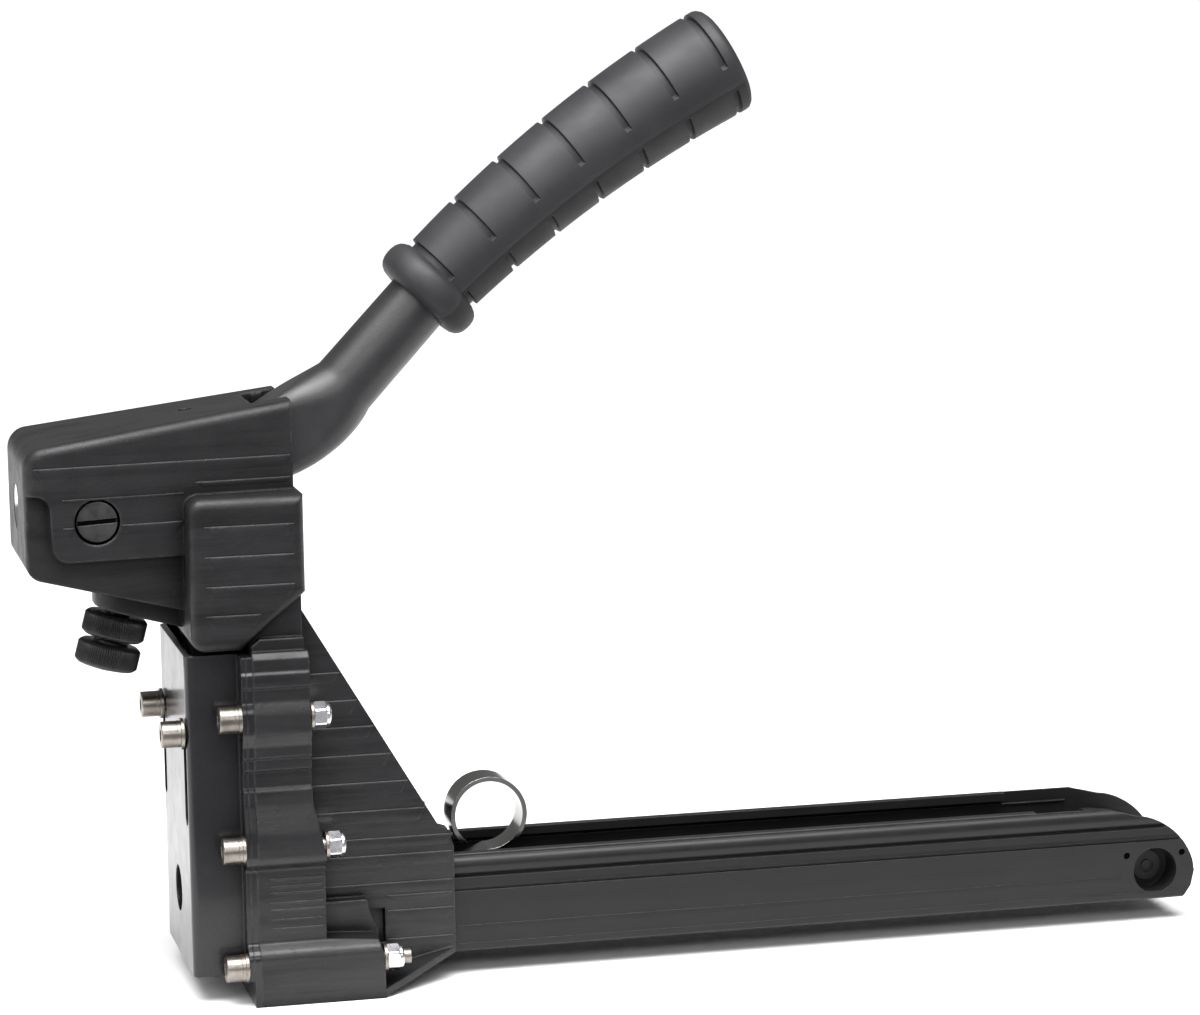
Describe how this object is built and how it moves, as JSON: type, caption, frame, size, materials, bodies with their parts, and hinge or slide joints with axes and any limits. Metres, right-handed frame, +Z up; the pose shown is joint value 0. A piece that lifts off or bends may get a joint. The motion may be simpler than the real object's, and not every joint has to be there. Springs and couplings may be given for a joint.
{
  "type": "carton stapler",
  "caption": "Hand-lever carton stapler: a grip lever drives a blade down a front channel between clinching claws, fed by an open staple magazine with a spring pusher.",
  "frame": {"origin": "on the flat sole under the body, in the mid-plane, 44 mm behind the front face of the cover", "axes": "+X from the front cover towards the tail of the magazine, +Y across the tool, +Z up from the sole"},
  "size_m": [0.3914, 0.0828, 0.309],
  "materials": {
    "cast_black": "cast aluminium under matt textured black paint",
    "cover_black": "gloss black",
    "plate_black": "satin black",
    "steel_dark": "blackened and nickelled steel",
    "zinc": "bright zinc",
    "bright": "polished",
    "magazine_black": "black anodised",
    "rubber_black": "matt",
    "tail_plastic": "black",
    "spring_steel": "dark tempered",
    "bronze": "oiled bronze"
  },
  "bodies": {
    "body": {"body_casting": "cast_black", "guide_plate": "plate_black", "front_cover": "cover_black", "flange_bolts": "steel_dark", "flange_washers": "steel_dark", "flange_lock_washers": "steel_dark", "flange_nuts": "zinc", "head_housing": "cast_black", "head_dowels": "zinc", "nose_bush": "bright", "pivot_pin": "plate_black", "pivot_ring": "plate_black", "spring_seat": "plate_black", "spring_rods": "zinc", "return_springs": "spring_steel", "anvil_pins": "zinc", "anvil_spacers": "zinc", "magazine_rail": "magazine_black", "staple_core": "spring_steel", "core_screws": "steel_dark", "magazine_screws": "steel_dark", "tail_block": "tail_plastic", "tail_pins": "plate_black", "drum_axle": "tail_plastic", "feed_strip": "spring_steel"},
    "handle": {"handle_arm": "plate_black", "lever_bush": "bronze", "handle_grip": "rubber_black"},
    "carriage": {"carriage": "plate_black", "cross_pin": "zinc", "driver_blade": "spring_steel", "front_screws": "steel_dark", "front_lock_washers": "steel_dark", "front_washers": "steel_dark"},
    "anvil_left": {"anvil_left": "spring_steel"},
    "anvil_right": {"anvil_right": "spring_steel"},
    "stop_screw": {"stop_screw": "plate_black"},
    "adjusting_knob": {"adjusting_knob": "plate_black"},
    "lock_knob": {"lock_knob": "plate_black"},
    "pusher": {"pusher": "tail_plastic", "pusher_ring": "spring_steel", "ring_rivets": "zinc"},
    "drum": {"spring_drum": "tail_plastic", "drum_coil": "spring_steel"}
  },
  "joints": [
    {"name": "handle_swing", "type": "hinge", "parent": "body", "child": "handle", "pos_m": [-0.0695, 0, 0.1562], "axis": [0, 1, 0], "range_deg": [0, 40], "stiffness_Nm_per_rad": 3, "springref_deg": -34.38},
    {"name": "carriage_slide", "type": "slide", "parent": "body", "child": "carriage", "axis": [0, 0, -1], "range_m": [0, 0.02586], "deforming": ["return_springs"]},
    {"name": "anvil_left_swing", "type": "hinge", "parent": "body", "child": "anvil_left", "pos_m": [-0.0355, -0.008, 0.02], "axis": [1, 0, 0], "range_deg": [0, 73]},
    {"name": "anvil_right_swing", "type": "hinge", "parent": "body", "child": "anvil_right", "pos_m": [-0.0355, 0.008, 0.02], "axis": [1, 0, 0], "range_deg": [-73, 0]},
    {"name": "stop_screw_slide", "type": "slide", "parent": "body", "child": "stop_screw", "axis": [-0.2638, 0, -0.9646], "range_m": [0, 0.003]},
    {"name": "adjusting_knob_turn", "type": "hinge", "parent": "stop_screw", "child": "adjusting_knob", "pos_m": [-0.0621, 0, 0.1182], "axis": [-0.2638, 0, -0.9646], "range_deg": [0, 870]},
    {"name": "lock_knob_turn", "type": "hinge", "parent": "body", "child": "lock_knob", "pos_m": [-0.0621, 0, 0.1182], "axis": [-0.2638, 0, -0.9646], "range_deg": [0, 120]},
    {"name": "pusher_slide", "type": "slide", "parent": "body", "child": "pusher", "axis": [1, 0, 0], "range_m": [0, 0.19], "stiffness_N_per_m": 8, "springref_m": -0.6},
    {"name": "drum_spin", "type": "hinge", "parent": "body", "child": "drum", "pos_m": [0.2853, 0, 0.0175], "axis": [0, 1, 0], "range_deg": [0, 1560]}
  ],
  "couplings": [
    {"joint": "carriage_slide", "follows": "handle_swing", "m_per_rad": 0.037019},
    {"joint": "anvil_left_swing", "follows": "handle_swing", "ratio": 1.8},
    {"joint": "anvil_right_swing", "follows": "handle_swing", "ratio": -1.8},
    {"joint": "adjusting_knob_turn", "follows": "stop_screw_slide", "rad_per_m": 5026.5},
    {"joint": "drum_spin", "follows": "pusher_slide", "rad_per_m": 142.86}
  ]
}
